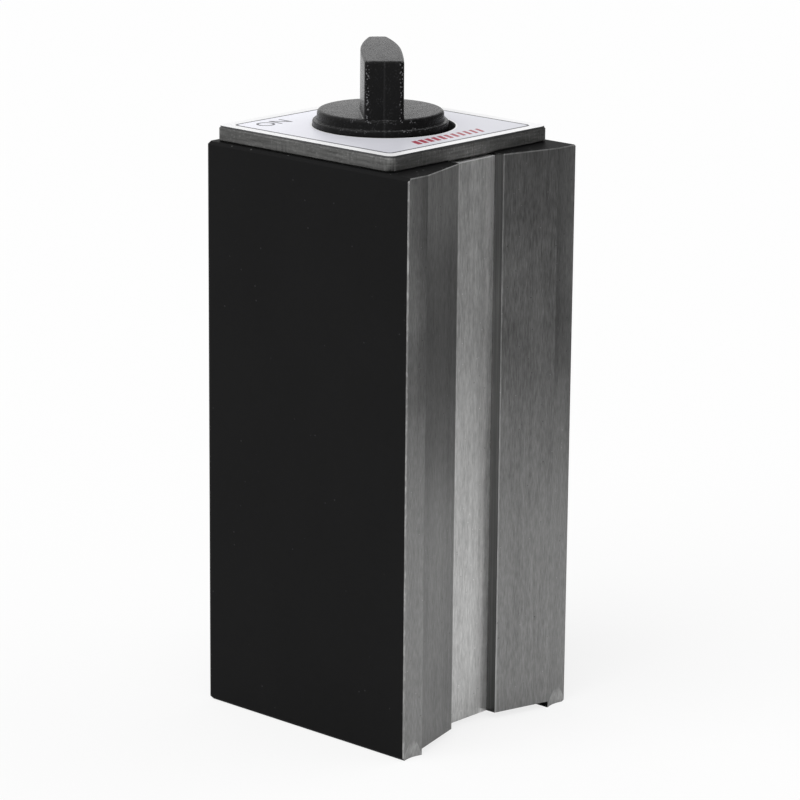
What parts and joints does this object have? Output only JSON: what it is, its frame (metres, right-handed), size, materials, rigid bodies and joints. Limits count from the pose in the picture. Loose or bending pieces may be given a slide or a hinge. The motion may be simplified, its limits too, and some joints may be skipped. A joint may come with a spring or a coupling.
{
  "type": "magnetic base",
  "caption": "Switchable magnetic base with a V-groove working face, black painted sides and a rotary on-off knob on the end.",
  "frame": {"origin": "middle of the rear end at the level of its feet, which is the bottom centre of the bounding box", "axes": "+Z along the body from the rear end to the knob, -Y out of the V-groove working face, +X to the right seen from the groove side with the knob up"},
  "size_m": [0.05, 0.055, 0.1373],
  "materials": {
    "pole_steel": "ground on the working face, black paint on the sides and ends",
    "spacer_strip": "milled, brushed along its length",
    "cover_steel": "dark rolled surface with ground edges",
    "label_print": "satin white print",
    "screw_steel": "blackened",
    "bush_brass": "turned",
    "shaft_steel": "turned and ground",
    "ferrite": "matt ceramic grey",
    "knob_plastic": "fine moulded grain"
  },
  "bodies": {
    "housing": {"left_pole_block": "pole_steel", "right_pole_block": "pole_steel", "groove_spacer": "spacer_strip", "back_spacer": "spacer_strip", "front_cover": "cover_steel", "label_plate": "label_print", "front_cover_screws": "screw_steel", "rear_cover": "cover_steel", "rear_cover_screws": "screw_steel", "front_bush": "bush_brass", "rear_bush": "bush_brass", "stop_pin": "shaft_steel"},
    "rotor": {"knob": "knob_plastic", "knob_pin": "shaft_steel", "front_rotor_cap": "shaft_steel", "rear_rotor_cap": "shaft_steel", "rotor_pole_back": "shaft_steel", "rotor_pole_front": "shaft_steel", "rotor_filler_right": "bush_brass", "rotor_filler_left": "bush_brass", "rotor_tie_bolts": "screw_steel", "magnet_block_1": "ferrite", "magnet_block_2": "ferrite", "magnet_block_3": "ferrite", "magnet_block_4": "ferrite"}
  },
  "joints": [
    {"name": "switch_turn", "type": "hinge", "parent": "housing", "child": "rotor", "pos_m": [0, 0.0029, 0.118], "axis": [0, 0, 1], "range_deg": [0, 90]}
  ]
}
